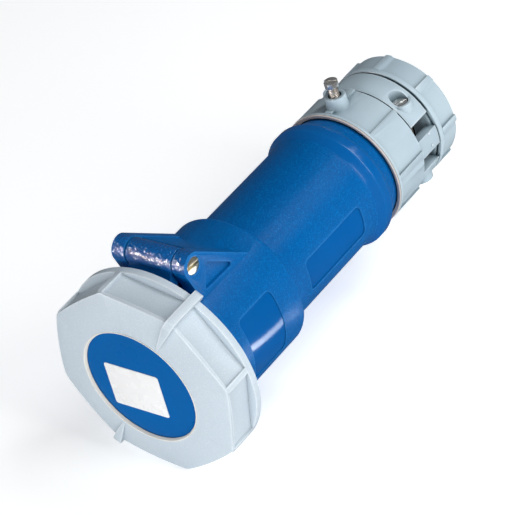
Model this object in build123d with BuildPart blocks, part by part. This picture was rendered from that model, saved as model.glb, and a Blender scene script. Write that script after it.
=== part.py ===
# Industrial cable coupler, 63 A, two poles and earth with a pilot contact, watertight.
# The plug enters along the Y axis. The origin is the centre of the housing's mouth,
# -Y is the way the plug leaves, +Y runs to the cable end, and +Z is the hinge side.
import os
from math import asin, cos, degrees, radians, sin, sqrt, tan

from build123d import *

os.makedirs("parts", exist_ok=True)

# Driving dimensions, in millimetres and degrees
shroud_radius = 35.5            # outside of the plug's shroud that the mouth takes
shroud_play = 1.0
collar_wall = 4.1
collar_length = 76.0
shoulder_length = 3.4
shoulder_round = 2.2
barrel_radius = 34.4
barrel_wall = 3.4
bead_height = 3.4
bead_start = 153.0              # where the barrel begins to flare
bead_length = 10.2
bead_crest = 0.5                # share of the bead's length that the flare takes
flare_round = 5.0
crest_round = 1.4
bead_rear_round = 2.0
spigot_rise = 0.6               # the spigot's root stands this much above the barrel
spigot_step = 4.0
spigot_length = 9.3
thread_step = 3.0               # from the spigot's root down to the thread's crests
thread_length = 12.4
thread_wall = 3.4
thread_relief = 0.8
small_round = 0.6

keyway_width = 9.0
keyway_depth = 2.2
keyway_length = 30.0

panel_length = 50.0             # bare panel on each side of the barrel
panel_start = 92.0
panel_width = 18.4
panel_corner = 3.0
panel_depth = 0.8
patch_length = 27.0             # smooth patch on each side of the collar
patch_start = 32.0
patch_width = 37.5
patch_corner = 3.0
patch_depth = 0.5

hinge_y = 27.0
hinge_z = 55.0
ear_half_width = 23.0
ear_thickness = 7.9
ear_boss_radius = 7.0
ear_front_lean = 0.30           # the ear's front edge goes back by this much per millimetre down
ear_slope = 38.0                # slope of the ear's back edge
web_rim = 4.2                   # rim left round the ear's sunk web
web_heel = 9.5
web_front = 3.4
web_foot = 3.5                  # how far the web goes below the collar's surface
web_depth = 1.6
roof_thickness = 3.0
roof_sink = 0.5                 # the roof between the ears lies below their edges

pin_radius = 3.2
pin_head_radius = 4.7
pin_head_height = 2.6
pin_sink = 0.4
slot_width = 1.3
slot_depth = 1.1

knuckle_radius = 6.8
knuckle_play = 0.4
knuckle_gap = 1.0               # between each end of the knuckle and its ear
running_play = 0.07
fixed_play = 0.03
spring_wire = 0.5               # wire radius
spring_radius = 4.4
spring_pitch = 2.9
spring_seat = 6.0               # solid end of the knuckle beside the spring
spring_chamber_radius = 5.4

opening_radius = 34.0           # front opening of the bayonet ring
ring_front = 10.0               # how far the ring's front stands before the mouth
ring_front_wall = 3.6
ring_cone_rise = 3.6
ring_rear = 15.0
skirt_gap = 3.0                 # between the ramps and the inside of the skirt
skirt_wall = 2.2
ring_rim = 4.4
lip_height = 3.3
ring_lip = 1.7
ring_ribs = 8
ring_turn = 56.5                # angle of the first fin from +X towards +Z
flat_depth = 4.8                # how deep the flats lie below the ring's outside
ridge_drop = 3.2
ridge_width = 1.6
rib_rise = 0.3
rib_width = 3.2
fin_height = 2.9
fin_width = 4.6
fin_round = 1.5
fin_foot = 1.0                  # how far the fins reach past the edge of the opening
fin_point = 0.9
fin_rise = 2.9
fin_tail = 2.9
lock_angle = 40.0
nose_half_angle = 6.0
nose_gap = 2.2                  # between the noses and the collar
nose_start = 7.2
nose_length = 3.4
ramp_height = 5.2
ramp_start = 2.6
ramp_half_width = 10.0
ramp_lead = 1.6
lock_play = 0.3

lid_disc_radius = 33.6
lid_disc_sink = 1.6
flange_catch = 0.9              # how far the ring's lip holds the lid's flange
flange_gap = 0.4
lid_flange = 3.6
lid_wall = 3.4
face_play = 0.2
side_play = 0.3
arm_play = 0.8
arm_thickness = 3.6
arm_half_width = 13.4
label_length = 34.3
label_height = 26.7
label_x = -4.4
label_z = -4.4
label_corner = 1.5
label_thickness = 0.3
seal_groove = 1.0
seal_margin = 0.3

insert_radius = 31.0
insert_play = 0.1
insert_front = 6.0
insert_length = 56.0
insert_front_wall = 3.0
insert_chamfer = 1.0
ledge_start = 55.0              # ledge in the housing that carries the plug's seal
ledge_thickness = 4.0
plug_seal_length = 3.5
contact_circle = 18.0
power_bore = 4.0                # for a pin of 8 mm
earth_bore = 5.0                # for a pin of 10 mm
pilot_bore = 3.0                # for a pin of 6 mm
contact_wall = 1.8
pilot_wall = 1.4
contact_play = 0.3
entry_play = 0.1                # round each pin where it enters the insert
contact_set_back = 0.5
contact_depth = 36.0
contact_slit = 0.9
contact_slit_length = 24.0
terminal_side = 12.5
pilot_terminal_side = 9.0
terminal_length = 19.5
pilot_terminal_length = 12.0
wire_bore = 3.2
pilot_wire_bore = 1.7
wire_depth = 15.0
pilot_wire_depth = 9.0
terminal_screw_radius = 2.4
terminal_screw_head = 3.0
terminal_screw_gap = 9.0
insert_screw_circle = 25.5
insert_screw_radius = 2.0
insert_screw_head = 3.2
insert_screw_head_height = 3.2
insert_screw_length = 22.0
insert_screw_floor = 12.0
boss_radius = 4.6
boss_length = 12.0
boss_web = 5.5

gland_turn = 3.5                # how far round the gland body stands when it is tight
gland_wall = 3.2                # from the thread's crests to the outside
gland_lip_rise = 1.1
gland_lip = 1.7
gland_mouth_wall = 1.7
gland_rib_rise = 1.0
gland_rib_edge = 3.0            # the steep side of each rib, in degrees from its middle
gland_rib_crest = 3.2
gland_rib_slope = 4.5
gland_ribs = 8
gland_start = 174.6
gland_length = 24.9
gland_web = 4.0
gland_shell = 2.6
gland_seal_length = 2.5
cable_hole = 19.0
lock_boss_radius = 6.6
lock_boss_rise = 6.8
lock_boss_recess = 3.7
lock_boss_recess_depth = 2.4
lock_rib_width = 4.4
lock_rib_rise = 1.3
lock_screw_y = 185.0
lock_screw_radius = 2.4
lock_screw_head_radius = 3.8
lock_screw_head_height = 3.2
lock_screw_gap = 5.7

clamp_length = 17.0
clamp_gap = 1.1
saddle_sink = 0.8
saddle_chord = 14.6
saddle_bore = 17.0
saddle_rear_gap = 0.5
pillar_sink = 1.3
pillar_wall = 6.4
pillar_half_angle = 9.5
clamp_screw_x = 21.5
clamp_screw_radius = 2.45
clamp_screw_seat = 21.2
clamp_head_radius = 4.2
clamp_head_height = 3.2
clamp_lip_radius = 6.4
clamp_lip_height = 25.0
clamp_nut_flats = 8.0
clamp_nut_height = 4.0
clamp_play = 0.35
nut_thread_play = 0.05

neck_flange = 3.1
neck_flange_sink = 2.4          # from the outside of the pillars
neck_step = 2.1
neck_wall = 4.8
cable_seal_length = 9.4
cable_seal_bore = 12.5
cable_seal_chamfer = 0.6
thrust_length = 2.2
thrust_bore = 15.5
end_nut_shell = 4.1             # from the neck to the nut's outside
end_nut_lip_rise = 1.1
end_nut_lip_gap = 0.8
end_nut_lip = 3.0
end_nut_rib_rise = 1.2
end_nut_rib_edge = 3.3
end_nut_rib_crest = 5.6
end_nut_rib_slope = 3.0
end_nut_ribs = 8
end_nut_turn = 2.0
end_nut_wall = 3.9
end_nut_bore = 18.0
end_nut_chamfer = 1.3
end_nut_play = 0.1

# Sizes that follow from them
mouth_bore = shroud_radius + shroud_play
collar_radius = mouth_bore + collar_wall
barrel_start = collar_length + shoulder_length
barrel_bore = barrel_radius - barrel_wall
bead_radius = barrel_radius + bead_height
bead_end = bead_start + bead_length
spigot_radius = barrel_radius + spigot_rise
spigot_end = bead_end + spigot_step + spigot_length
thread_radius = spigot_radius - thread_step
thread_bore = thread_radius - thread_wall
housing_end = spigot_end + thread_length - 1.4
ear_inner = ear_half_width - ear_thickness
knuckle_half_width = ear_inner - knuckle_gap
ramp_radius = collar_radius + ramp_height
nose_radius = collar_radius + nose_gap
ring_skirt_radius = ramp_radius + skirt_gap
ring_lip_radius = ring_skirt_radius - lip_height
ring_floor = ring_skirt_radius + skirt_wall
ring_radius = ring_floor + flat_depth
ridge_radius = ring_radius - ridge_drop
rib_radius = ring_radius + rib_rise
fin_radius = ring_radius + fin_height
lid_flange_radius = ring_lip_radius + flange_catch
lid_front = ring_front - lid_disc_sink
flange_front = ring_front - ring_front_wall - face_play
flange_rear = flange_front - lid_flange
lip_front = flange_rear - side_play
insert_rear = insert_front + insert_length
insert_screw_seat = insert_rear - insert_screw_floor
contact_front = insert_front + insert_front_wall + contact_set_back
gland_body_radius = thread_radius + gland_wall
gland_lip_radius = gland_body_radius + gland_lip_rise
gland_bore = gland_lip_radius - gland_mouth_wall
gland_rib_radius = gland_body_radius + gland_rib_rise
gland_end = gland_start + gland_length
lock_boss_height = gland_body_radius + lock_boss_rise
saddle_radius = gland_body_radius - saddle_sink
pillar_outer = gland_body_radius - pillar_sink
pillar_inner = pillar_outer - pillar_wall
neck_flange_radius = pillar_outer - neck_flange_sink
neck_radius = neck_flange_radius - neck_step
neck_bore = neck_radius - neck_wall
end_nut_radius = neck_radius + end_nut_shell
end_nut_lip_radius = end_nut_radius + end_nut_lip_rise
end_nut_lip_bore = neck_flange_radius + end_nut_lip_gap
end_nut_rib_radius = end_nut_radius + end_nut_rib_rise
gland_seat = housing_end + gland_seal_length
saddle_start = gland_end + clamp_gap
neck_start = gland_end + clamp_length
saddle_end = neck_start - saddle_rear_gap
clamp_y = (saddle_start + saddle_end) / 2
seal_start = neck_start + neck_flange
thrust_start = seal_start + cable_seal_length
neck_end = thrust_start + thrust_length
end_nut_start = neck_start + 1.1
end_nut_seat = neck_end + end_nut_play
end_nut_end = end_nut_seat + end_nut_wall


def across(y, turn=0.0):
    # a plane square to the axis at y: its x is +X and its y is +Z, both turned by an angle
    t = radians(turn)
    return Plane(origin=(0, y, 0), x_dir=(cos(t), 0, sin(t)), z_dir=(0, -1, 0))


def radial(turn):
    # a plane through the axis: its x runs outwards at an angle from +X to +Z, its y is +Y
    t = radians(turn)
    return Plane(origin=(0, 0, 0), x_dir=(cos(t), 0, sin(t)), z_dir=(-sin(t), 0, cos(t)))


def ring_sector(inner, outer, middle, half_angle):
    # a piece of a flat ring between two angles
    with BuildSketch() as sector:
        with BuildLine():
            inside = CenterArc((0, 0), inner, middle - half_angle, 2 * half_angle)
            outside = CenterArc((0, 0), outer, middle - half_angle, 2 * half_angle)
            Line(inside @ 0, outside @ 0)
            Line(inside @ 1, outside @ 1)
        make_face()
    return sector.sketch


def polar(radius, angle):
    return (radius * cos(radians(angle)), radius * sin(radians(angle)))


def tooth(root, crest, edge, crest_angle, slope_angle):
    # a rib's section: steep at the edge's angle, then a crest, then a slope down to the root
    with BuildSketch() as section:
        with BuildLine():
            Polyline(
                polar(root - 0.5, edge),
                polar(crest, edge),
                polar(crest, edge - crest_angle),
                polar(root - 0.02, edge - crest_angle - slope_angle),
                polar(root - 0.5, edge - crest_angle - slope_angle),
                close=True,
            )
        make_face()
    return section.sketch


# Housing: the turned outside first, then the hinge ears and the bayonet ramps, then the hollow
side_planes = [Plane.YZ, Plane(origin=(0, 0, 0), x_dir=(0, 1, 0), z_dir=(-1, 0, 0))]
ear_toe_z = mouth_bore * 0.8
ear_back = radians(ear_slope)
ear_top_y = hinge_y + ear_boss_radius * sin(ear_back)
ear_top_z = hinge_z + ear_boss_radius * cos(ear_back)
ear_heel_y = ear_top_y + (ear_top_z - ear_toe_z) / tan(ear_back)
ear_toe_y = hinge_y - ear_boss_radius + ear_front_lean * (hinge_z - ear_toe_z)
roof_inside = ear_boss_radius - roof_sink - roof_thickness
roof_start = sqrt((knuckle_radius + 2 * knuckle_play) ** 2 - roof_inside ** 2)

with BuildPart() as ramps:
    with BuildSketch(*side_planes):
        with BuildLine():
            ramp_rear = nose_start - lock_play
            Polyline(
                (ramp_start, -ramp_half_width),
                (ramp_start, ramp_half_width),
                (ramp_rear - ramp_lead, ramp_half_width),
                (ramp_rear, ramp_half_width / 4),
                (ramp_rear, -ramp_half_width),
                close=True,
            )
        make_face()
    extrude(amount=ramp_radius + 1)
    with BuildSketch(Plane.XY):
        with BuildLine():
            Polyline(
                (collar_radius - 0.5, 0),
                (ramp_radius, 0),
                (ramp_radius, nose_start),
                (collar_radius - 0.5, nose_start),
                close=True,
            )
        make_face()
    revolve(axis=Axis.Y, mode=Mode.INTERSECT)

with BuildPart() as side_recesses:
    with BuildSketch(*side_planes):
        with Locations((patch_start + patch_length / 2, 0)):
            RectangleRounded(patch_length, patch_width, patch_corner)
        with Locations((panel_start + panel_length / 2, 0)):
            RectangleRounded(panel_length, panel_width, panel_corner)
    extrude(amount=collar_radius + 1)
    with BuildSketch(Plane.XY):
        with Locations((collar_radius - patch_depth, patch_start)):
            Rectangle(patch_depth + 1, patch_length, align=(Align.MIN, Align.MIN))
        with Locations((barrel_radius - panel_depth, panel_start)):
            Rectangle(panel_depth + 1, panel_length, align=(Align.MIN, Align.MIN))
    revolve(axis=Axis.Y, mode=Mode.INTERSECT)

with BuildPart() as housing:
    with BuildSketch(Plane.XY):
        with BuildLine():
            FilletPolyline(
                (0, 0),
                (collar_radius, 0),
                (collar_radius, collar_length),
                (barrel_radius, barrel_start),
                (barrel_radius, bead_start),
                (bead_radius, bead_start + bead_length * bead_crest),
                (bead_radius, bead_end),
                (spigot_radius, bead_end + spigot_step),
                (thread_radius + thread_relief, spigot_end),
                (thread_radius, spigot_end + 1),
                (thread_radius, housing_end),
                (0, housing_end),
                radius=[0, small_round, shoulder_round, shoulder_round, flare_round, crest_round, bead_rear_round,
                        0, 0, 0, 0, 0],
                close=True,
            )
        make_face()
    revolve(axis=Axis.Y)
    with BuildSketch(Plane.YZ.offset(ear_inner), Plane.YZ.offset(-ear_half_width)):
        with Locations((hinge_y, hinge_z)):
            Circle(ear_boss_radius)
        with BuildLine():
            Polyline((ear_toe_y, ear_toe_z), (ear_heel_y, ear_toe_z), (hinge_y, hinge_z), close=True)
        make_face()
        make_hull()
    extrude(amount=ear_thickness)
    with BuildSketch(Plane.YZ.offset(-ear_inner)):
        roof_y = ear_top_y + roof_start * cos(ear_back) - roof_sink * sin(ear_back)
        roof_z = ear_top_z - roof_start * sin(ear_back) - roof_sink * cos(ear_back)
        roof_heel_y = ear_heel_y - roof_sink / sin(ear_back)
        with BuildLine():
            Polyline(
                (roof_y, roof_z),
                (roof_heel_y, ear_toe_z),
                (roof_heel_y - roof_thickness / sin(ear_back), ear_toe_z),
                (roof_y - roof_thickness * sin(ear_back), roof_z - roof_thickness * cos(ear_back)),
                close=True,
            )
        make_face()
    extrude(amount=2 * ear_inner)
    add(ramps.part)
    with BuildSketch(Plane.XY):
        with BuildLine():
            Polyline(
                (0, -1),
                (mouth_bore, -1),
                (mouth_bore, ledge_start),
                (insert_radius + insert_play, ledge_start),
                (insert_radius + insert_play, ledge_start + ledge_thickness),
                (mouth_bore, ledge_start + ledge_thickness),
                (mouth_bore, collar_length - 6),
                (barrel_bore, barrel_start - 4.5),
                (barrel_bore, bead_end),
                (thread_bore, bead_end + 3),
                (thread_bore, housing_end + 1),
                (0, housing_end + 1),
                close=True,
            )
        make_face()
    revolve(axis=Axis.Y, mode=Mode.SUBTRACT)
    with BuildSketch(across(0)):
        with Locations((0, -mouth_bore)):
            Rectangle(keyway_width, 2 * keyway_depth)
    extrude(amount=-keyway_length, mode=Mode.SUBTRACT)
    with BuildSketch(across(insert_rear)):
        with PolarLocations(insert_screw_circle, 3, start_angle=90):
            Circle(boss_radius)
            Rectangle(mouth_bore - insert_screw_circle + 0.5, boss_web,
                      align=(Align.MIN, Align.CENTER))
        with PolarLocations(insert_screw_circle, 3, start_angle=90):
            Circle(insert_screw_radius + fixed_play, mode=Mode.SUBTRACT)
    extrude(amount=-boss_length)
    add(side_recesses.part, mode=Mode.SUBTRACT)
    with BuildSketch(Plane.YZ.offset(ear_half_width), Plane.YZ.offset(-ear_half_width + web_depth)):
        with BuildLine():
            FilletPolyline(
                (hinge_y + ear_boss_radius + 1.2, hinge_z - 3.5),
                (ear_heel_y - web_rim / sin(ear_back) - web_heel, collar_radius - web_foot - 1),
                (hinge_y + web_front, collar_radius - web_foot),
                radius=1.5,
                close=True,
            )
        make_face()
    extrude(amount=-web_depth, mode=Mode.SUBTRACT)
    with BuildSketch(Plane.YZ.offset(-ear_half_width)):
        with Locations((hinge_y, hinge_z)):
            Circle(pin_radius + fixed_play)
    extrude(amount=2 * ear_half_width, mode=Mode.SUBTRACT)
    with BuildSketch(Plane.YZ.offset(ear_half_width)):
        with Locations((hinge_y, hinge_z)):
            Circle(pin_head_radius + fixed_play)
    extrude(amount=-(pin_head_height + pin_sink), mode=Mode.SUBTRACT)
housing.part.label = "housing"
export_step(housing.part, "parts/housing.step")


# Lid: a dished cap whose flange is caught in the ring, with the arm that reaches back over the collar
arm_inner = collar_radius + arm_play
arm_half_angle = degrees(asin(arm_half_width / (arm_inner + arm_thickness)))

with BuildPart() as lid:
    with BuildSketch(Plane.XY):
        with BuildLine():
            FilletPolyline(
                (0, -lid_front),
                (lid_disc_radius, -lid_front),
                (lid_disc_radius, -flange_front),
                (lid_flange_radius, -flange_front),
                (lid_flange_radius, -flange_rear),
                (collar_radius, -flange_rear),
                (collar_radius, -flange_rear - seal_groove),
                (mouth_bore, -flange_rear - seal_groove),
                (mouth_bore, -flange_rear),
                (opening_radius + 1, -flange_rear),
                (opening_radius - 1, -lid_front + lid_wall),
                (0, -lid_front + lid_wall),
                radius=[0, small_round, 0, small_round, 0, 0, 0, 0, 0, 0, 1, 0],
                close=True,
            )
        make_face()
    revolve(axis=Axis.Y)
    with BuildSketch(across(-flange_rear - 0.5)):
        add(ring_sector(arm_inner, arm_inner + arm_thickness, 90, arm_half_angle))
    extrude(amount=-(ring_rear + flange_rear + 2))
    with BuildSketch(Plane.YZ.offset(-arm_half_width)):
        with BuildLine():
            Polyline(
                (ring_rear - 1, arm_inner + 0.4),
                (ring_rear + 4, arm_inner + 0.4),
                (hinge_y + 3, hinge_z - knuckle_radius + 0.7),
                (hinge_y, hinge_z),
                (hinge_y - knuckle_radius * 0.95, hinge_z - knuckle_radius * 0.31),
                (ring_rear + 0.8, arm_inner + arm_thickness),
                close=True,
            )
        make_face()
    extrude(amount=2 * arm_half_width)
    with BuildSketch(Plane.YZ.offset(-knuckle_half_width)):
        with Locations((hinge_y, hinge_z)):
            Circle(knuckle_radius)
    extrude(amount=2 * knuckle_half_width)
    with BuildSketch(Plane.YZ.offset(-knuckle_half_width)):
        with Locations((hinge_y, hinge_z)):
            Circle(pin_radius + running_play)
    extrude(amount=2 * knuckle_half_width, mode=Mode.SUBTRACT)
    with BuildSketch(Plane.YZ.offset(-knuckle_half_width + spring_seat)):
        with Locations((hinge_y, hinge_z)):
            Circle(spring_chamber_radius)
    extrude(amount=2 * knuckle_half_width - spring_seat, mode=Mode.SUBTRACT)
lid.part.label = "lid"
export_step(lid.part, "parts/lid.step")

with BuildPart() as rating_label:
    with BuildSketch(across(-lid_front)):
        with Locations((label_x, label_z)):
            RectangleRounded(label_length, label_height, label_corner)
    extrude(amount=label_thickness)
rating_label.part.label = "rating_label"
export_step(rating_label.part, "parts/rating_label.step")

with BuildPart() as lid_seal:
    with BuildSketch(Plane.XY):
        with BuildLine():
            Polyline(
                (mouth_bore + seal_margin, -flange_rear - seal_groove),
                (collar_radius - seal_margin, -flange_rear - seal_groove),
                (collar_radius - seal_margin, 0),
                (mouth_bore + seal_margin, 0),
                close=True,
            )
        make_face()
    revolve(axis=Axis.Y)
lid_seal.part.label = "lid_seal"
export_step(lid_seal.part, "parts/lid_seal.step")


# Bayonet ring: a coned front and a skirt with eight flats between ribs, and two tall fins
rib_angles = [ring_turn + k * 360 / ring_ribs for k in range(ring_ribs)]
fin_angles = [rib_angles[0], rib_angles[ring_ribs // 2]]
flat_angle = ring_turn + 180 / ring_ribs

with BuildPart() as fin:
    with BuildSketch(Plane.XY):
        with BuildLine():
            FilletPolyline(
                (opening_radius + fin_foot, -ring_front + 1.2),
                (opening_radius + fin_foot, -ring_front + 0.1),
                (ring_radius - fin_round, -ring_front + ring_cone_rise - fin_rise),
                (fin_radius, -ring_front + ring_cone_rise - 1),
                (fin_radius, ring_rear + fin_tail - 2),
                (ring_radius + 1, ring_rear + fin_tail),
                (ring_floor + 2.5, ring_rear + fin_tail),
                (ring_floor, ring_rear - 1),
                (ring_floor, -ring_front + ring_front_wall + 1),
                radius=[0, 0, fin_round, fin_round, fin_round, 1, 1, 0, 0],
                close=True,
            )
        make_face()
    extrude(amount=fin_width / 2, both=True)
    with BuildSketch(across(-ring_front - 2)):
        with BuildLine():
            Polyline(
                (opening_radius, -fin_point / 2),
                (ring_floor + 1, -fin_width / 2),
                (fin_radius + 1, -fin_width / 2),
                (fin_radius + 1, fin_width / 2),
                (ring_floor + 1, fin_width / 2),
                (opening_radius, fin_point / 2),
                close=True,
            )
        make_face()
    extrude(amount=-(ring_front + ring_rear + fin_tail + 4), mode=Mode.INTERSECT)

with BuildPart() as bayonet_ring:
    with BuildSketch(Plane.XY):
        with BuildLine():
            FilletPolyline(
                (opening_radius, -ring_front),
                (ring_radius, -ring_front + ring_cone_rise),
                (ring_radius, ring_rear),
                (ring_skirt_radius, ring_rear),
                (ring_skirt_radius, -lip_front + ring_lip),
                (ring_lip_radius, -lip_front + ring_lip),
                (ring_lip_radius, -lip_front),
                (ring_skirt_radius, -lip_front),
                (ring_skirt_radius, -ring_front + ring_front_wall + 1.8),
                (lid_flange_radius + flange_gap, -ring_front + ring_front_wall),
                (opening_radius, -ring_front + ring_front_wall),
                radius=[small_round, 0.8, 0.8, small_round, 0, 0, 0, 0, 0, 0, 0],
                close=True,
            )
        make_face()
    revolve(axis=Axis.Y)
    with BuildSketch(across(-ring_front - 2)):
        Circle(ring_radius + 5)
        with BuildLine():
            for angle in rib_angles:
                ThreePointArc(
                    polar(ring_radius, angle),
                    polar(ridge_radius, angle + 180 / ring_ribs),
                    polar(ring_radius, angle + 360 / ring_ribs),
                )
        make_face(mode=Mode.SUBTRACT)
    ridge_rear = -ring_front + ring_cone_rise + ridge_width
    extrude(amount=-(ridge_rear + ring_front + 2), mode=Mode.SUBTRACT)
    with BuildSketch(across(ridge_rear)):
        flat_width = 2 * (ring_radius * sin(radians(180 / ring_ribs)) - rib_width / 2)
        with PolarLocations(ring_floor, ring_ribs, start_angle=flat_angle):
            Rectangle(ring_radius, flat_width, align=(Align.MIN, Align.CENTER))
    extrude(amount=-(ring_rear - ring_rim - ridge_rear), mode=Mode.SUBTRACT)
    with BuildSketch(*[radial(angle) for angle in rib_angles]):
        with BuildLine():
            Polyline(
                (ring_floor - 1, ridge_rear - ridge_width),
                (rib_radius - 1, ridge_rear - ridge_width),
                (rib_radius, ridge_rear),
                (rib_radius, ring_rear - ring_rim),
                (ring_floor - 1, ring_rear - ring_rim),
                close=True,
            )
        make_face()
    extrude(amount=rib_width / 2, both=True)
    for angle in fin_angles:
        add(fin.part.rotate(Axis.Y, -angle))
    with BuildSketch(across(nose_start)):
        for angle in (lock_angle, lock_angle + 180):
            add(ring_sector(nose_radius, ring_skirt_radius + 0.5, angle, nose_half_angle))
    extrude(amount=-nose_length)
bayonet_ring.part.label = "bayonet_ring"
export_step(bayonet_ring.part, "parts/bayonet_ring.step")


# Hinge pin with a slotted head, and the spring that closes the lid
with BuildPart() as hinge_pin:
    with BuildSketch(Plane.YZ.offset(-ear_half_width)):
        with Locations((hinge_y, hinge_z)):
            Circle(pin_radius)
    extrude(amount=2 * ear_half_width - pin_sink)
    with BuildSketch(Plane.YZ.offset(ear_half_width - pin_sink - pin_head_height)):
        with Locations((hinge_y, hinge_z)):
            Circle(pin_head_radius)
    extrude(amount=pin_head_height)
    with BuildSketch(Plane.YZ.offset(ear_half_width - pin_sink)):
        with Locations((hinge_y, hinge_z)):
            Rectangle(slot_width, 3 * pin_head_radius, rotation=-35)
    extrude(amount=-slot_depth, mode=Mode.SUBTRACT)
hinge_pin.part.label = "hinge_pin"
export_step(hinge_pin.part, "parts/hinge_pin.step")

spring_start = -knuckle_half_width + spring_seat + spring_wire + 0.1
spring_length = 2 * knuckle_half_width - spring_seat - 2 * spring_wire - 1
with BuildPart() as lid_spring:
    with BuildLine() as coil:
        Helix(
            spring_pitch,
            spring_length,
            spring_radius,
            center=(spring_start, hinge_y, hinge_z),
            direction=(1, 0, 0),
        )
    with BuildSketch(Plane(origin=coil.line @ 0, z_dir=coil.line % 0)):
        RegularPolygon(spring_wire, 6)
    sweep(is_frenet=True)
lid_spring.part.label = "lid_spring"
export_step(lid_spring.part, "parts/lid_spring.step")


# Contact insert, with a sleeve and a terminal for each contact
power_places = {"line": 30, "neutral": 150}
earth_place = 270
insert_screw_places = (90, 210, 330)

with BuildPart() as contact_insert:
    with BuildSketch(Plane.XY):
        with BuildLine():
            Polyline(
                (0, insert_front),
                (insert_radius - insert_chamfer, insert_front),
                (insert_radius, insert_front + insert_chamfer),
                (insert_radius, insert_rear),
                (0, insert_rear),
                close=True,
            )
        make_face()
    revolve(axis=Axis.Y)
    for bore, wall, places in (
        (power_bore, contact_wall, [polar(contact_circle, a) for a in power_places.values()]),
        (earth_bore, contact_wall, [polar(contact_circle, earth_place)]),
        (pilot_bore, pilot_wall, [(0, 0)]),
    ):
        with BuildSketch(across(insert_front)):
            with Locations(*places):
                Circle(bore + entry_play)
        extrude(amount=-insert_front_wall, mode=Mode.SUBTRACT)
        with BuildSketch(across(insert_front + insert_front_wall)):
            with Locations(*places):
                Circle(bore + wall + contact_play)
        extrude(amount=-(insert_rear - insert_front), mode=Mode.SUBTRACT)
    with BuildSketch(across(insert_front)):
        with Locations(*[polar(insert_screw_circle, a) for a in insert_screw_places]):
            Circle(insert_screw_head + contact_play)
    extrude(amount=-(insert_screw_seat - insert_front), mode=Mode.SUBTRACT)
    with BuildSketch(across(insert_screw_seat)):
        with Locations(*[polar(insert_screw_circle, a) for a in insert_screw_places]):
            Circle(insert_screw_radius + fixed_play)
    extrude(amount=-insert_screw_floor, mode=Mode.SUBTRACT)
contact_insert.part.label = "contact_insert"
export_step(contact_insert.part, "parts/contact_insert.step")

with BuildPart() as plug_seal:
    with BuildSketch(across(ledge_start)):
        Circle(mouth_bore - insert_play)
        Circle(insert_radius + insert_play, mode=Mode.SUBTRACT)
    extrude(amount=plug_seal_length)
plug_seal.part.label = "plug_seal"
export_step(plug_seal.part, "parts/plug_seal.step")


def make_contact(name, bore, wall, circle, angle, side, length, wire, wire_deep, screws, bore_deep):
    # a slit sleeve with its terminal block, and the block's clamping screws
    middle = polar(circle, angle)
    block_start = insert_rear + 0.3
    with BuildPart() as contact:
        with BuildSketch(across(contact_front)):
            with Locations(middle):
                Circle(bore + wall)
        extrude(amount=-(block_start - contact_front))
        with BuildSketch(across(block_start)):
            with Locations(middle):
                RectangleRounded(side, side, 1, rotation=angle)
        extrude(amount=-length)
        with BuildSketch(across(contact_front)):
            with Locations(middle):
                Circle(bore)
        extrude(amount=-bore_deep, mode=Mode.SUBTRACT)
        with BuildSketch(across(contact_front)):
            with Locations(middle):
                Rectangle(2 * (bore + wall) + 1, contact_slit, rotation=angle)
        extrude(amount=-contact_slit_length, mode=Mode.SUBTRACT)
        with BuildSketch(across(block_start + length)):
            with Locations(middle):
                Circle(wire)
        extrude(amount=wire_deep, mode=Mode.SUBTRACT)
        screw_places = [
            (circle + side, block_start + length / 2 + (k - (screws - 1) / 2) * terminal_screw_gap)
            for k in range(screws)
        ]
        outward = Plane(
            origin=(middle[0], 0, middle[1]),
            x_dir=(0, 1, 0),
            z_dir=(cos(radians(angle)), 0, sin(radians(angle))),
        )
        with BuildSketch(outward):
            with Locations(*[(y, 0) for _, y in screw_places]):
                Circle(terminal_screw_radius + fixed_play)
        extrude(amount=side, mode=Mode.SUBTRACT)
    with BuildPart() as clamping:
        with BuildSketch(outward.offset(wire * 0.4)):
            with Locations(*[(y, 0) for _, y in screw_places]):
                Circle(terminal_screw_radius)
        extrude(amount=side / 2 - wire * 0.4)
        with BuildSketch(outward.offset(side / 2)):
            with Locations(*[(y, 0) for _, y in screw_places]):
                Circle(terminal_screw_head)
        extrude(amount=2.2)
        with BuildSketch(outward.offset(side / 2 + 2.2)):
            with Locations(*[(y, 0) for _, y in screw_places]):
                Rectangle(0.9, 3 * terminal_screw_head)
        extrude(amount=-0.9, mode=Mode.SUBTRACT)
    contact.part.label = name + "_contact"
    export_step(contact.part, f"parts/{name}_contact.step")
    screw_name = name + ("_terminal_screws" if screws > 1 else "_terminal_screw")
    clamping.part.label = screw_name
    export_step(clamping.part, f"parts/{screw_name}.step")


for name, angle in power_places.items():
    make_contact(name, power_bore, contact_wall, contact_circle, angle, terminal_side,
                 terminal_length, wire_bore, wire_depth, 2, contact_depth)
make_contact("earth", earth_bore, contact_wall, contact_circle, earth_place, terminal_side,
             terminal_length, wire_bore, wire_depth, 2, contact_depth)
make_contact("pilot", pilot_bore, pilot_wall, 0, 90, pilot_terminal_side,
             pilot_terminal_length, pilot_wire_bore, pilot_wire_depth, 1, contact_depth - 8)

with BuildPart() as insert_screws:
    with BuildSketch(across(insert_screw_seat)):
        with Locations(*[polar(insert_screw_circle, a) for a in insert_screw_places]):
            Circle(insert_screw_radius)
    extrude(amount=-insert_screw_length)
    with BuildSketch(across(insert_screw_seat)):
        with Locations(*[polar(insert_screw_circle, a) for a in insert_screw_places]):
            Circle(insert_screw_head)
    extrude(amount=insert_screw_head_height)
    with BuildSketch(across(insert_screw_seat - insert_screw_head_height)):
        with Locations(*[polar(insert_screw_circle, a) for a in insert_screw_places]):
            Rectangle(0.9, 3 * insert_screw_head)
    extrude(amount=-0.9, mode=Mode.SUBTRACT)
insert_screws.part.label = "insert_screws"
export_step(insert_screws.part, "parts/insert_screws.step")


# Gland body: the ribbed sleeve on the housing's thread, two pillars and the threaded neck behind
clamp_plane = radial(gland_turn)
gland_rib_angles = [k * 360 / gland_ribs for k in range(gland_ribs) if k != gland_ribs // 4]

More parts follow.
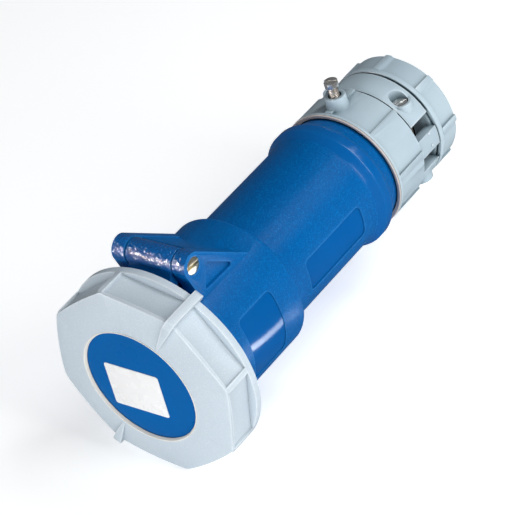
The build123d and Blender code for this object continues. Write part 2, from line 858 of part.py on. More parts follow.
with BuildPart() as gland_body:
    with BuildSketch(Plane.XY):
        with BuildLine():
            FilletPolyline(
                (gland_bore, gland_start),
                (gland_lip_radius, gland_start),
                (gland_lip_radius, gland_start + gland_lip),
                (gland_body_radius, gland_start + gland_lip + 0.6),
                (gland_body_radius, gland_end),
                (gland_body_radius - gland_shell, gland_end),
                (gland_body_radius - gland_shell, gland_seat + gland_web),
                (cable_hole, gland_seat + gland_web),
                (cable_hole, gland_seat),
                (thread_radius + 0.1, gland_seat),
                (thread_radius + 0.1, gland_start + 4.5),
                (gland_bore, gland_start + 2),
                radius=[0, 0.5, 0.5, 0, 0.5, 0, 0, 0, 0, 0, 0, 0],
                close=True,
            )
        make_face()
    revolve(axis=Axis.Y)
    with BuildSketch(across(gland_start + gland_lip, gland_turn)):
        for angle in gland_rib_angles:
            add(tooth(gland_body_radius, gland_rib_radius, angle + gland_rib_edge, gland_rib_crest, gland_rib_slope))
        with Locations((0, gland_body_radius - 0.5)):
            Rectangle(lock_rib_width, lock_rib_rise + 0.5, align=(Align.CENTER, Align.MIN))
    extrude(amount=-(gland_length - gland_lip - 0.5))
    with BuildSketch(across(gland_seat + gland_web - 0.5, gland_turn)):
        for angle in (0, 180):
            add(ring_sector(pillar_inner, pillar_outer, angle, pillar_half_angle))
    extrude(amount=-(neck_start + 0.5 - gland_seat - gland_web + 0.5))
    with BuildSketch(Plane.XY):
        with BuildLine():
            Polyline(
                (cable_hole, neck_start),
                (neck_flange_radius, neck_start),
                (neck_flange_radius, seal_start),
                (neck_radius, seal_start),
                (neck_radius, neck_end),
                (neck_bore, neck_end),
                (neck_bore, seal_start),
                (cable_hole, seal_start),
                close=True,
            )
        make_face()
    revolve(axis=Axis.Y)
    with BuildSketch(clamp_plane.offset(thread_radius + 1)):
        with Locations((0, lock_screw_y)):
            Circle(lock_boss_radius)
    extrude(amount=lock_boss_height - thread_radius - 1, taper=6)
    with BuildSketch(clamp_plane.offset(thread_radius - 3)):
        with Locations((0, lock_screw_y)):
            Circle(lock_screw_radius + fixed_play)
    extrude(amount=lock_boss_height, mode=Mode.SUBTRACT)
    with BuildSketch(clamp_plane.offset(lock_boss_height - lock_boss_recess_depth)):
        with Locations((0, lock_screw_y)):
            Circle(lock_boss_recess)
    extrude(amount=lock_boss_recess_depth + 1, mode=Mode.SUBTRACT)
gland_body.part.label = "gland_body"
export_step(gland_body.part, "parts/gland_body.step")

with BuildPart() as gland_seal:
    with BuildSketch(across(housing_end)):
        Circle(thread_radius)
        Circle(thread_bore, mode=Mode.SUBTRACT)
    extrude(amount=-gland_seal_length)
gland_seal.part.label = "gland_seal"
export_step(gland_seal.part, "parts/gland_seal.step")

with BuildPart() as lock_screw:
    lock_head = lock_boss_height + lock_screw_gap
    with BuildSketch(clamp_plane.offset(thread_radius + 0.6)):
        with Locations((0, lock_screw_y)):
            Circle(lock_screw_radius)
    extrude(amount=lock_head - thread_radius - 0.6)
    with BuildSketch(clamp_plane.offset(lock_head)):
        with Locations((0, lock_screw_y)):
            Circle(lock_screw_head_radius)
    extrude(amount=lock_screw_head_height)
    with BuildSketch(clamp_plane.offset(lock_head + lock_screw_head_height)):
        with Locations((0, lock_screw_y)):
            Rectangle(3 * lock_screw_head_radius, slot_width, rotation=25)
    extrude(amount=-slot_depth, mode=Mode.SUBTRACT)
lock_screw.part.label = "lock_screw"
export_step(lock_screw.part, "parts/lock_screw.step")


# Cable clamp: two saddles drawn together by two screws, with a nut on each
clamp_places = {"near": clamp_screw_x, "far": -clamp_screw_x}


def make_saddle(side):
    # side is 1 for the upper saddle, which takes the screw heads, and -1 for the lower one
    with BuildPart() as saddle:
        with BuildSketch(across(saddle_start, gland_turn)):
            Circle(saddle_radius)
            with Locations((0, side * (saddle_chord - saddle_radius))):
                Rectangle(2 * saddle_radius, 2 * saddle_radius, mode=Mode.SUBTRACT)
            Circle(saddle_bore, mode=Mode.SUBTRACT)
        extrude(amount=-(saddle_end - saddle_start))
        with BuildSketch(clamp_plane.offset(side * (saddle_chord + 1))):
            with Locations(*[(x, clamp_y) for x in clamp_places.values()]):
                Circle(clamp_lip_radius)
        extrude(amount=side * (clamp_lip_height - saddle_chord - 1))
        with BuildSketch(clamp_plane.offset(side * clamp_screw_seat)):
            with Locations(*[(x, clamp_y) for x in clamp_places.values()]):
                if side > 0:
                    Circle(clamp_head_radius + 2 * clamp_play)
                else:
                    RegularPolygon(clamp_nut_flats / 2 + 0.05, 6, major_radius=False)
        extrude(amount=side * saddle_radius, mode=Mode.SUBTRACT)
        with BuildSketch(clamp_plane):
            with Locations(*[(x, clamp_y) for x in clamp_places.values()]):
                Circle(clamp_screw_radius + clamp_play)
        extrude(amount=side * saddle_radius, mode=Mode.SUBTRACT)
    return saddle.part


upper_saddle = make_saddle(1)
upper_saddle.label = "upper_saddle"
export_step(upper_saddle, "parts/upper_saddle.step")
lower_saddle = make_saddle(-1)
lower_saddle.label = "lower_saddle"
export_step(lower_saddle, "parts/lower_saddle.step")

for name, x in clamp_places.items():
    with BuildPart() as clamp_screw:
        with BuildSketch(clamp_plane.offset(-clamp_screw_seat - clamp_nut_height)):
            with Locations((x, clamp_y)):
                Circle(clamp_screw_radius)
        extrude(amount=2 * clamp_screw_seat + clamp_nut_height)
        with BuildSketch(clamp_plane.offset(clamp_screw_seat)):
            with Locations((x, clamp_y)):
                Circle(clamp_head_radius)
        extrude(amount=clamp_head_height)
        with BuildSketch(clamp_plane.offset(clamp_screw_seat + clamp_head_height)):
            with Locations((x, clamp_y)):
                Rectangle(3 * clamp_head_radius, slot_width, rotation=50)
        extrude(amount=-slot_depth, mode=Mode.SUBTRACT)
    clamp_screw.part.label = name + "_clamp_screw"
    export_step(clamp_screw.part, f"parts/{name}_clamp_screw.step")
    with BuildPart() as clamp_nut:
        with BuildSketch(clamp_plane.offset(-clamp_screw_seat)):
            with Locations((x, clamp_y)):
                RegularPolygon(clamp_nut_flats / 2, 6, major_radius=False)
                Circle(clamp_screw_radius + nut_thread_play, mode=Mode.SUBTRACT)
        extrude(amount=-clamp_nut_height)
    clamp_nut.part.label = name + "_clamp_nut"
    export_step(clamp_nut.part, f"parts/{name}_clamp_nut.step")


# Cable seal, thrust ring and end nut on the neck
with BuildPart() as cable_seal:
    with BuildSketch(Plane.XY):
        with BuildLine():
            Polyline(
                (cable_seal_bore, seal_start + cable_seal_chamfer),
                (cable_seal_bore + cable_seal_chamfer, seal_start),
                (neck_bore - side_play, seal_start),
                (neck_bore - side_play, thrust_start),
                (cable_seal_bore + cable_seal_chamfer, thrust_start),
                (cable_seal_bore, thrust_start - cable_seal_chamfer),
                close=True,
            )
        make_face()
    revolve(axis=Axis.Y)
cable_seal.part.label = "cable_seal"
export_step(cable_seal.part, "parts/cable_seal.step")

with BuildPart() as thrust_ring:
    with BuildSketch(across(thrust_start)):
        Circle(neck_bore - side_play)
        Circle(thrust_bore, mode=Mode.SUBTRACT)
    extrude(amount=-thrust_length)
thrust_ring.part.label = "thrust_ring"
export_step(thrust_ring.part, "parts/thrust_ring.step")

with BuildPart() as end_nut:
    with BuildSketch(Plane.XY):
        with BuildLine():
            FilletPolyline(
                (end_nut_lip_bore, end_nut_start),
                (end_nut_lip_radius, end_nut_start),
                (end_nut_lip_radius, end_nut_start + end_nut_lip),
                (end_nut_radius, end_nut_start + end_nut_lip + 0.8),
                (end_nut_radius, end_nut_end - end_nut_chamfer),
                (end_nut_radius - end_nut_chamfer, end_nut_end),
                (end_nut_bore + 1, end_nut_end),
                (end_nut_bore, end_nut_end - 1),
                (end_nut_bore, end_nut_seat),
                (neck_radius + running_play, end_nut_seat),
                (neck_radius + running_play, seal_start + 0.6),
                (end_nut_lip_bore, seal_start + 0.6),
                radius=[0, 0.8, 0.6, 0, 0, 0, 0, 0, 0, 0, 0, 0],
                close=True,
            )
        make_face()
    revolve(axis=Axis.Y)
    with BuildSketch(across(end_nut_start + end_nut_lip, end_nut_turn)):
        for k in range(end_nut_ribs):
            add(tooth(end_nut_radius, end_nut_rib_radius, k * 360 / end_nut_ribs + end_nut_rib_edge,
                      end_nut_rib_crest, end_nut_rib_slope))
    extrude(amount=-(end_nut_end - end_nut_chamfer - end_nut_start - end_nut_lip))
end_nut.part.label = "end_nut"
export_step(end_nut.part, "parts/end_nut.step")
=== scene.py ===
# Industrial cable coupler: blue housing and lid, grey bayonet ring and cable gland.
# Metres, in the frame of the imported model: +Y runs from the mouth to the cable end, +Z is the hinge side.
import math

import bpy
from mathutils import Matrix, Vector


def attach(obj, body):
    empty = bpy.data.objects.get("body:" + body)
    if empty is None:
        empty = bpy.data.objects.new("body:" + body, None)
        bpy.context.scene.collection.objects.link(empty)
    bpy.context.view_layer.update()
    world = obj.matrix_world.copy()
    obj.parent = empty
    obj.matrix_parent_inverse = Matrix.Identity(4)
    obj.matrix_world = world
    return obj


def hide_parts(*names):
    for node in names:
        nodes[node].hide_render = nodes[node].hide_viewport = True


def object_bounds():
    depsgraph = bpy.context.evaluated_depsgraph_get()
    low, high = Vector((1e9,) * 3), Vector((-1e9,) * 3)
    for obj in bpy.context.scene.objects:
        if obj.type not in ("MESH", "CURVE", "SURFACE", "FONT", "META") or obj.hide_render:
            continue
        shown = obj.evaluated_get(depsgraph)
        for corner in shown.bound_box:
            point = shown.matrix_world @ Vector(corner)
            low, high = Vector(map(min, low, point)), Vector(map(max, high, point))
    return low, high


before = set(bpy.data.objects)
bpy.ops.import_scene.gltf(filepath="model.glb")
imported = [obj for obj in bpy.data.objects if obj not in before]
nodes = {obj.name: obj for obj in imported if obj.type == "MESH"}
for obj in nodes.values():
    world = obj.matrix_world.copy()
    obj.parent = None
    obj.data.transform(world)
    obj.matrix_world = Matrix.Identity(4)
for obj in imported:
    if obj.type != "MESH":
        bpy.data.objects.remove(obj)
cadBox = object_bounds()
print("stage: frame loaded,", len(nodes), "nodes")

hingeAxis = (0, 0.027, 0.055)      # a point on the line of the hinge pin, which runs along X
glandTurn = math.radians(3.5)      # the clamp and the screws lean this much from +Z towards -X


def deselectAll():
    if bpy.context.mode != "OBJECT":
        bpy.ops.object.mode_set(mode="OBJECT")
    bpy.ops.object.select_all(action="DESELECT")


def makeActive(piece):
    deselectAll()
    piece.select_set(True)
    bpy.context.view_layer.objects.active = piece


def applyModifier(piece, kind, **settings):
    makeActive(piece)
    modifier = piece.modifiers.new(kind.title(), kind)
    for key, value in settings.items():
        setattr(modifier, key, value)
    bpy.ops.object.modifier_apply(modifier=modifier.name)


# Materials: everything reads object coordinates, in metres

def newMaterial(name):
    material = bpy.data.materials.new(name)
    material.use_nodes = True
    tree = material.node_tree
    return material, tree, tree.nodes["Principled BSDF"]


def addNode(tree, kind, **settings):
    node = tree.nodes.new(kind)
    for key, value in settings.items():
        if hasattr(node, key):
            setattr(node, key, value)
        else:
            node.inputs[key.replace("_", " ").title()].default_value = value
    return node


noiseDetail = {"drift": 3.0, "grain": 1.0, "smudge": 2.0, "tint": 3.0, "scratches": 2.0}
noiseRoughness = 0.5


def noiseNode(tree, place, pattern, scale):
    noise = addNode(tree, "ShaderNodeTexNoise", scale=scale, detail=noiseDetail[pattern], roughness=noiseRoughness)
    tree.links.new(place.outputs["Object"], noise.inputs["Vector"])
    return noise


def rangeNode(tree, source, low, high, start, stop):
    node = tree.nodes.new("ShaderNodeMapRange")
    node.inputs["From Min"].default_value = start
    node.inputs["From Max"].default_value = stop
    node.inputs["To Min"].default_value = low
    node.inputs["To Max"].default_value = high
    tree.links.new(source, node.inputs["Value"])
    return node


blends = {
    # where each pattern starts and stops to count
    "drift": (0.35, 0.65), "tops": (0.5, 0.72), "smudge": (0.3, 0.7), "edge": (0.55, 0.85), "cavity": (0.5, 0.9),
    "tint": (0.4, 0.62), "scratches": (0.0, 1.0),
}
plasticDefaults = {
    # what a finish has where it says nothing else: a painted highlight along outer edges, and painted shade in its gaps
    # and corners
    "paintedEdgeHighlightShare": 0.5, "edgeReach": 0.0009, "paintedShade": (0.25, 0.27, 0.29), "paintedShadeShare": 0.35, "cavityReach": 0.0022,
}
shadeSamples = 4


def blendNode(tree, source, blend, low, high):
    # the factor that a pattern gives between its start and its stop
    return rangeNode(tree, source, low, high, *blends[blend]).outputs["Result"]


def paintEdgeHighlightAndCavityShade(tree, colour, finish):
    # outer edges get a painted highlight, a lighter colour where ambient occlusion from inside finds an edge, and the
    # feet of ribs and the gaps get painted shade, a darker colour where ambient occlusion finds them hemmed in
    edge = addNode(tree, "ShaderNodeAmbientOcclusion", samples=shadeSamples, inside=True, only_local=True,
                   distance=finish["edgeReach"])
    paintedEdgeHighlight = addNode(tree, "ShaderNodeMix", data_type="RGBA", blend_type="MIX")
    paintedEdgeHighlight.inputs["B"].default_value = (*finish["paintedEdgeHighlight"], 1)
    tree.links.new(colour, paintedEdgeHighlight.inputs["A"])
    tree.links.new(blendNode(tree, edge.outputs["AO"], "edge", finish["paintedEdgeHighlightShare"], 0), paintedEdgeHighlight.inputs["Factor"])
    cavity = addNode(tree, "ShaderNodeAmbientOcclusion", samples=shadeSamples, distance=finish["cavityReach"])
    paintedShadeMix = addNode(tree, "ShaderNodeMix", data_type="RGBA", blend_type="MULTIPLY")
    paintedShadeMix.inputs["B"].default_value = (*finish["paintedShade"], 1)
    tree.links.new(paintedEdgeHighlight.outputs["Result"], paintedShadeMix.inputs["A"])
    tree.links.new(blendNode(tree, cavity.outputs["AO"], "cavity", finish["paintedShadeShare"], 0), paintedShadeMix.inputs["Factor"])
    return paintedShadeMix.outputs["Result"]


def mouldedPlastic(name, values):
    # colour that drifts a little and lightens on the grain's tops, a fine grain and a roughness of its own
    finish = {**plasticDefaults, **values}
    material, tree, shader = newMaterial(name)
    place = tree.nodes.new("ShaderNodeTexCoord")
    drift = noiseNode(tree, place, "drift", finish["driftScale"])
    mix = addNode(tree, "ShaderNodeMix", data_type="RGBA")
    mix.inputs["A"].default_value = (*finish["colour"], 1)
    mix.inputs["B"].default_value = (*finish["second"], 1)
    tree.links.new(blendNode(tree, drift.outputs["Fac"], "drift", 0, 1), mix.inputs["Factor"])
    grain = noiseNode(tree, place, "grain", finish["grainScale"])
    tops = addNode(tree, "ShaderNodeMix", data_type="RGBA")
    tops.inputs["B"].default_value = (*finish["tops"], 1)
    tree.links.new(mix.outputs["Result"], tops.inputs["A"])
    tree.links.new(blendNode(tree, grain.outputs["Fac"], "tops", 0, finish["topShare"]), tops.inputs["Factor"])
    tree.links.new(paintEdgeHighlightAndCavityShade(tree, tops.outputs["Result"], finish), shader.inputs["Base Color"])
    smudge = noiseNode(tree, place, "smudge", finish["smudgeScale"])
    rough = blendNode(tree, smudge.outputs["Fac"], "smudge", finish["roughLow"], finish["roughHigh"])
    tree.links.new(rough, shader.inputs["Roughness"])
    bump = addNode(tree, "ShaderNodeBump", strength=finish["grainStrength"], distance=finish["grainDepth"])
    tree.links.new(grain.outputs["Fac"], bump.inputs["Height"])
    tree.links.new(bump.outputs["Normal"], shader.inputs["Normal"])
    shader.inputs["Specular IOR Level"].default_value = finish["gloss"]
    return material


def turnedMetal(name, finish):
    # fine scratches, and a second tint in patches
    material, tree, shader = newMaterial(name)
    place = tree.nodes.new("ShaderNodeTexCoord")
    tint = noiseNode(tree, place, "tint", finish["tintScale"])
    mix = addNode(tree, "ShaderNodeMix", data_type="RGBA")
    mix.inputs["A"].default_value = (*finish["colour"], 1)
    mix.inputs["B"].default_value = (*finish["second"], 1)
    tree.links.new(blendNode(tree, tint.outputs["Fac"], "tint", 0, 1), mix.inputs["Factor"])
    tree.links.new(mix.outputs["Result"], shader.inputs["Base Color"])
    scratches = noiseNode(tree, place, "scratches", finish["scratchScale"])
    rough = blendNode(tree, scratches.outputs["Fac"], "scratches", finish["roughLow"], finish["roughHigh"])
    tree.links.new(rough, shader.inputs["Roughness"])
    bump = addNode(tree, "ShaderNodeBump", strength=finish["scratchStrength"], distance=finish["scratchDepth"])
    tree.links.new(scratches.outputs["Fac"], bump.inputs["Height"])
    tree.links.new(bump.outputs["Normal"], shader.inputs["Normal"])
    shader.inputs["Metallic"].default_value = finish["metallic"]
    return material


# each moulded plastic below gets a painted highlight along its edges, and painted shade in its gaps where its shade
# share is above 0
blueGrain = mouldedPlastic("blueGrain", {
    "colour": (0.0, 0.102, 0.345), "second": (0.0, 0.113, 0.372), "tops": (0.0, 0.21, 0.60), "topShare": 0.6,
    "driftScale": 22, "grainScale": 1300, "smudgeScale": 60,
    "paintedEdgeHighlight": (0.03, 0.24, 0.62), "paintedEdgeHighlightShare": 0.6, "edgeReach": 0.0016,
    "roughLow": 0.30, "roughHigh": 0.40, "grainStrength": 0.5, "grainDepth": 0.0003, "gloss": 0.10,
})
blueSatin = mouldedPlastic("blueSatin", {
    "colour": (0.0, 0.102, 0.35), "second": (0.0, 0.110, 0.37), "tops": (0.0, 0.14, 0.43), "topShare": 0.35,
    "driftScale": 20, "grainScale": 1500, "smudgeScale": 60,
    "paintedEdgeHighlight": (0.02, 0.20, 0.56), "paintedEdgeHighlightShare": 0.5,
    "roughLow": 0.26, "roughHigh": 0.34, "grainStrength": 0.12, "grainDepth": 0.0002, "gloss": 0.06,
})
# the bead band gets a strong light-blue painted highlight along its rounded crest edges
blueSilk = mouldedPlastic("blueSilk", {
    "colour": (0.0, 0.104, 0.36), "second": (0.0, 0.112, 0.38), "tops": (0.0, 0.15, 0.46), "topShare": 0.4,
    "driftScale": 22, "grainScale": 1500, "smudgeScale": 60,
    "paintedEdgeHighlight": (0.03, 0.30, 0.70), "paintedEdgeHighlightShare": 0.8, "edgeReach": 0.0016,
    "roughLow": 0.19, "roughHigh": 0.24, "grainStrength": 0.12, "grainDepth": 0.0001, "gloss": 0.35,
})
blueShine = mouldedPlastic("blueShine", {
    "colour": (0.0, 0.098, 0.345), "second": (0.0, 0.108, 0.37), "tops": (0.0, 0.17, 0.52), "topShare": 0.4,
    "driftScale": 26, "grainScale": 760, "smudgeScale": 60,
    "paintedEdgeHighlight": (0.03, 0.24, 0.62), "paintedEdgeHighlightShare": 0.6,
    "roughLow": 0.05, "roughHigh": 0.07, "grainStrength": 1.0, "grainDepth": 0.0008, "gloss": 0.9,
})
blueSmooth = mouldedPlastic("blueSmooth", {
    "colour": (0.0, 0.098, 0.345), "second": (0.0, 0.104, 0.36), "tops": (0.0, 0.11, 0.38), "topShare": 0.3,
    "driftScale": 30, "grainScale": 2600, "smudgeScale": 90,
    "paintedEdgeHighlight": (0.0, 0.12, 0.42), "paintedEdgeHighlightShare": 0.2,
    "roughLow": 0.11, "roughHigh": 0.16, "grainStrength": 0.05, "grainDepth": 0.0001, "gloss": 0.2,
})
# the ring gets a near-white painted highlight along its edges and grey painted shade in its gaps
ringGrey = mouldedPlastic("ringGrey", {
    "colour": (0.525, 0.605, 0.675), "second": (0.555, 0.635, 0.70), "tops": (0.68, 0.75, 0.81), "topShare": 0.5,
    "driftScale": 18, "grainScale": 1500, "smudgeScale": 50,
    "paintedEdgeHighlight": (0.88, 0.92, 0.95), "paintedEdgeHighlightShare": 0.75, "edgeReach": 0.0011,
    "paintedShade": (0.45, 0.48, 0.50), "paintedShadeShare": 0.6, "cavityReach": 0.0026,
    "roughLow": 0.36, "roughHigh": 0.48, "grainStrength": 0.3, "grainDepth": 0.0002, "gloss": 0.4,
})
# the gland gets strong dark teal painted shade reaching 7 mm from its gaps and rib feet, and a pale painted highlight
# along its edges
glandGrey = mouldedPlastic("glandGrey", {
    "colour": (0.46, 0.58, 0.655), "second": (0.50, 0.62, 0.69), "tops": (0.53, 0.61, 0.68), "topShare": 0.3,
    "driftScale": 24, "grainScale": 2000, "smudgeScale": 70,
    "paintedEdgeHighlight": (0.74, 0.82, 0.88), "paintedEdgeHighlightShare": 0.8, "edgeReach": 0.0009,
    "paintedShade": (0.10, 0.16, 0.18), "paintedShadeShare": 0.95, "cavityReach": 0.0070,
    "roughLow": 0.28, "roughHigh": 0.38, "grainStrength": 0.10, "grainDepth": 0.00015, "gloss": 0.5,
})
seatBeige = mouldedPlastic("seatBeige", {
    "colour": (0.62, 0.53, 0.48), "second": (0.68, 0.58, 0.53), "tops": (0.70, 0.62, 0.57), "topShare": 0.3,
    "driftScale": 60, "grainScale": 1800, "smudgeScale": 90,
    "paintedEdgeHighlight": (0.78, 0.70, 0.64), "paintedEdgeHighlightShare": 0.4, "paintedShadeShare": 0.0,
    "roughLow": 0.5, "roughHigh": 0.65, "grainStrength": 0.15, "grainDepth": 0.00015, "gloss": 0.3,
})
creamLip = mouldedPlastic("creamLip", {
    "colour": (0.78, 0.74, 0.66), "second": (0.84, 0.80, 0.72), "tops": (0.88, 0.85, 0.78), "topShare": 0.3,
    "driftScale": 60, "grainScale": 1800, "smudgeScale": 90,
    "paintedEdgeHighlight": (0.92, 0.90, 0.84), "paintedEdgeHighlightShare": 0.4, "paintedShadeShare": 0.0,
    "roughLow": 0.4, "roughHigh": 0.5, "grainStrength": 0.1, "grainDepth": 0.0001, "gloss": 0.4,
})
insertBlack = mouldedPlastic("insertBlack", {
    "colour": (0.018, 0.018, 0.020), "second": (0.028, 0.028, 0.030), "tops": (0.05, 0.05, 0.052), "topShare": 0.5,
    "driftScale": 40, "grainScale": 1800, "smudgeScale": 80,
    "paintedEdgeHighlight": (0.07, 0.07, 0.072),
    "roughLow": 0.38, "roughHigh": 0.5, "grainStrength": 0.2, "grainDepth": 0.0002, "gloss": 0.4,
})
sealRubber = mouldedPlastic("sealRubber", {
    "colour": (0.012, 0.012, 0.012), "second": (0.022, 0.021, 0.020), "tops": (0.035, 0.034, 0.033), "topShare": 0.5,
    "driftScale": 60, "grainScale": 1200, "smudgeScale": 110,
    "paintedEdgeHighlight": (0.045, 0.044, 0.043),
    "roughLow": 0.62, "roughHigh": 0.8, "grainStrength": 0.25, "grainDepth": 0.0002, "gloss": 0.3,
})
labelFilm = mouldedPlastic("labelFilm", {
    "colour": (0.86, 0.855, 0.85), "second": (0.87, 0.865, 0.86), "tops": (0.89, 0.885, 0.88), "topShare": 0.3,
    "driftScale": 45, "grainScale": 3000, "smudgeScale": 120,
    "paintedEdgeHighlight": (0.94, 0.935, 0.93), "paintedShadeShare": 0.0,
    "roughLow": 0.22, "roughHigh": 0.32, "grainStrength": 0.05, "grainDepth": 0.0001, "gloss": 0.5,
})
paleBrass = turnedMetal("paleBrass", {
    "colour": (0.95, 0.87, 0.66), "second": (0.84, 0.70, 0.44), "tintScale": 140, "scratchScale": 1500,
    "roughLow": 0.26, "roughHigh": 0.40, "scratchStrength": 0.12, "scratchDepth": 0.00005, "metallic": 1.0,
})
platedSteel = turnedMetal("platedSteel", {
    "colour": (0.88, 0.88, 0.87), "second": (0.70, 0.68, 0.65), "tintScale": 160, "scratchScale": 1400,
    "roughLow": 0.16, "roughHigh": 0.32, "scratchStrength": 0.25, "scratchDepth": 0.00005, "metallic": 0.85,
})
wornThread = turnedMetal("wornThread", {
    "colour": (0.80, 0.73, 0.66), "second": (0.42, 0.32, 0.25), "tintScale": 220, "scratchScale": 1600,
    "roughLow": 0.24, "roughHigh": 0.42, "scratchStrength": 0.3, "scratchDepth": 0.00005, "metallic": 0.85,
})
print("stage: materials made")


# CAD nodes that show are copied, merged and given rounded edges, and the copy stands for the node

dressing = {
    # merge distance in metres, angles in degrees
    "merge": 0.00001, "flat": 0.5, "corner": 40, "smooth": 32, "segments": 2,
    "recessSlot": 1, "bandSlot": 2,
}


def faceCorners(mesh, face):
    return [mesh.vertices[i].co for i in face.vertices]


def smoothRecess(mesh, recess):
    # the floor of a sunk panel takes the smooth material
    for face in mesh.polygons:
        corners = faceCorners(mesh, face)
        onFloor = all(abs(math.hypot(co.x, co.z) - recess["radius"]) < recess["slack"] for co in corners)
        if onFloor and all(recess["start"] < co.y < recess["end"] for co in corners):
            face.material_index = dressing["recessSlot"]


def polishBand(mesh, band):
    # the rounded bead at the end of the barrel takes the silky material
    for face in mesh.polygons:
        corners = faceCorners(mesh, face)
        if all(band["start"] < co.y < band["end"] and math.hypot(co.x, co.z) > band["radius"] for co in corners):
            face.material_index = dressing["bandSlot"]


def shineNearHinge(mesh, reach):
    # the barrel of the hinge, polished by handling, takes the last material
    for face in mesh.polygons:
        corners = faceCorners(mesh, face)
        if all(math.hypot(co.y - hingeAxis[1], co.z - hingeAxis[2]) < reach for co in corners):
            face.material_index = len(mesh.materials) - 1


def dressNode(nodeName, finish):
    mesh = nodes[nodeName].data.copy()
    mesh.materials.clear()
    piece = bpy.data.objects.new(finish["piece"], mesh)
    bpy.context.scene.collection.objects.link(piece)
    makeActive(piece)
    bpy.ops.object.mode_set(mode="EDIT")
    bpy.ops.mesh.select_all(action="SELECT")
    bpy.ops.mesh.remove_doubles(threshold=dressing["merge"])
    bpy.ops.mesh.dissolve_limited(angle_limit=math.radians(dressing["flat"]))
    if "turned" in finish:
        bpy.ops.mesh.select_all(action="SELECT")
        bpy.ops.transform.rotate(value=math.radians(finish["turned"]), orient_axis="X", center_override=hingeAxis)
    bpy.ops.object.mode_set(mode="OBJECT")
    applyModifier(piece, "BEVEL", width=finish["edge"], segments=dressing["segments"], limit_method="ANGLE",
                  angle_limit=math.radians(dressing["corner"]), harden_normals=False, miter_outer="MITER_ARC")
    makeActive(piece)
    bpy.ops.object.shade_smooth_by_angle(angle=math.radians(dressing["smooth"]))
    for material in finish["materials"]:
        mesh.materials.append(material)
    for recess in finish.get("recesses", []):
        smoothRecess(mesh, recess)
    if "band" in finish:
        polishBand(mesh, finish["band"])
    if "shine" in finish:
        shineNearHinge(mesh, finish["shine"])
    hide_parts(nodeName)
    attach(piece, finish["body"])


shownNodes = {
    "housing": {"piece": "housingShell", "body": "coupler", "slot": "blue_plastic", "edge": 0.00035,
                "materials": [blueGrain, blueSmooth, blueSilk, blueShine],      # body, recess, band, shine
                "band": {"start": 0.1515, "end": 0.1645, "radius": 0.0348},
                "shine": 0.0072,
                "recesses": [
                    {"radius": 0.0401, "start": 0.0315, "end": 0.0595, "slack": 0.0002},
                    {"radius": 0.0336, "start": 0.0915, "end": 0.1425, "slack": 0.0002},
                ]},
    "lid": {"piece": "lidCap", "body": "lid", "slot": "blue_plastic",
            "materials": [blueSatin, blueShine], "edge": 0.0003,
            "shine": 0.0072},
    "bayonet_ring": {"piece": "bayonetCollar", "body": "ring", "slot": "light_grey_plastic",
                     "materials": [ringGrey], "edge": 0.0004},
    "hinge_pin": {"piece": "hingePinTurned", "body": "coupler", "slot": "brass",
                  "materials": [paleBrass], "edge": 0.0002,
                  "turned": 60},
    "gland_body": {"piece": "glandSleeve", "body": "coupler", "slot": "gland_grey_plastic",
                   "materials": [glandGrey], "edge": 0.0003},
    "lock_screw": {"piece": "lockScrew", "body": "coupler", "slot": "steel",
                   "materials": [platedSteel], "edge": 0.0003},
    "upper_saddle": {"piece": "upperSaddle", "body": "upper_clamp", "slot": "gland_grey_plastic",
                     "materials": [glandGrey], "edge": 0.0003},
    "lower_saddle": {"piece": "lowerSaddle", "body": "lower_clamp", "slot": "gland_grey_plastic",
                     "materials": [glandGrey], "edge": 0.0003},
    "near_clamp_screw": {"piece": "nearClampScrew", "body": "upper_clamp", "slot": "steel",
                         "materials": [platedSteel], "edge": 0.00025},
    "far_clamp_screw": {"piece": "farClampScrew", "body": "upper_clamp", "slot": "steel",
                        "materials": [platedSteel], "edge": 0.00025},
    "end_nut": {"piece": "glandNut", "body": "nut", "slot": "gland_grey_plastic",
                "materials": [glandGrey], "edge": 0.0003},
    "rating_label": {"piece": "ratingLabel", "body": "lid", "slot": "label_film",
                     "materials": [labelFilm], "edge": 0.0001},
}
for nodeName, finish in shownNodes.items():
    dressNode(nodeName, finish)

innerFinishes = {
    "contact_insert": insertBlack, "thrust_ring": insertBlack,
    "plug_seal": sealRubber, "lid_seal": sealRubber, "gland_seal": sealRubber, "cable_seal": sealRubber,
    "line_contact": paleBrass, "neutral_contact": paleBrass, "earth_contact": paleBrass, "pilot_contact": paleBrass,
    "line_terminal_screws": platedSteel, "neutral_terminal_screws": platedSteel, "earth_terminal_screws": platedSteel,
    "pilot_terminal_screw": platedSteel, "insert_screws": platedSteel, "lid_spring": platedSteel,
    "near_clamp_nut": platedSteel, "far_clamp_nut": platedSteel,
}
for nodeName, material in innerFinishes.items():
    nodes[nodeName].data.materials.clear()
    nodes[nodeName].data.materials.append(material)
print("stage: nodes dressed")


# Small things the moulds and the lathe leave, each its own piece

def settlePiece(piece, name, material, body):
    # the place goes into the mesh, and the piece rides its body
    makeActive(piece)
    bpy.ops.object.transform_apply(location=True, rotation=True, scale=True)
    piece.name = name
    piece.data.materials.append(material)
    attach(piece, body)


seams = {"weld": 0.000001, "capSides": 6}      # merge distance in metres, corners of the largest hole that is closed


def tidyMesh(piece):
    makeActive(piece)
    bpy.ops.object.mode_set(mode="EDIT")
    bpy.ops.mesh.select_all(action="SELECT")
    bpy.ops.mesh.remove_doubles(threshold=seams["weld"])
    bpy.ops.mesh.fill_holes(sides=seams["capSides"])
    bpy.ops.mesh.select_all(action="SELECT")
    bpy.ops.mesh.normals_make_consistent(inside=False)
    bpy.ops.object.mode_set(mode="OBJECT")


def clampPoint(across, along, up):
    # a point of the clamp's own turned frame, from millimetres
    x, y, z = across / 1000, along / 1000, up / 1000
    return (x * math.cos(glandTurn) - z * math.sin(glandTurn), y, x * math.sin(glandTurn) + z * math.cos(glandTurn))


